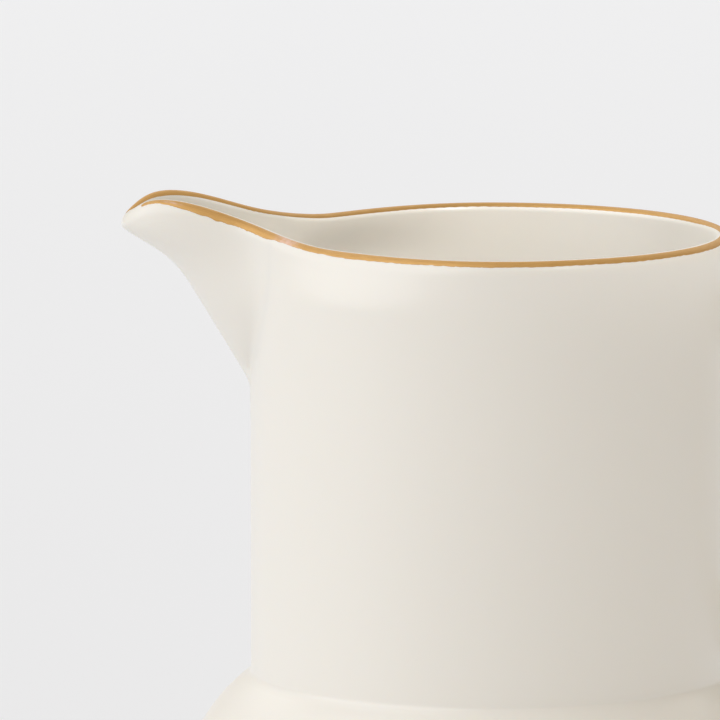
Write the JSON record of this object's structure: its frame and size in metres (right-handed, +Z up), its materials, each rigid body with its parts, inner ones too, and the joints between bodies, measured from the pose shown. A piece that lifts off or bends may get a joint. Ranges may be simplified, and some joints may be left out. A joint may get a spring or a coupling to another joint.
{
  "type": "cream jug",
  "caption": "Hollow porcelain cream jug with a round neck, a drawn-out pouring beak, a rounded belly on a foot ring, an ear-shaped handle and a gold line on the lip.",
  "frame": {"origin": "centre of the foot ring's standing face, on the axis of the neck", "axes": "+Z up, pouring beak towards -X, handle towards +X"},
  "size_m": [0.1079, 0.0808, 0.1068],
  "materials": {
    "porcelain": "warm ivory clear-glazed porcelain, smooth and softly glossy, unglazed on the standing edge of the foot ring",
    "gold": "hand-banded burnished gold, thin, with slight brush streaks and uneven edges"
  },
  "bodies": {
    "root": {"jug_body": "porcelain", "spout": "porcelain", "handle": "porcelain", "rim_gilding": "gold"}
  },
  "joints": []
}
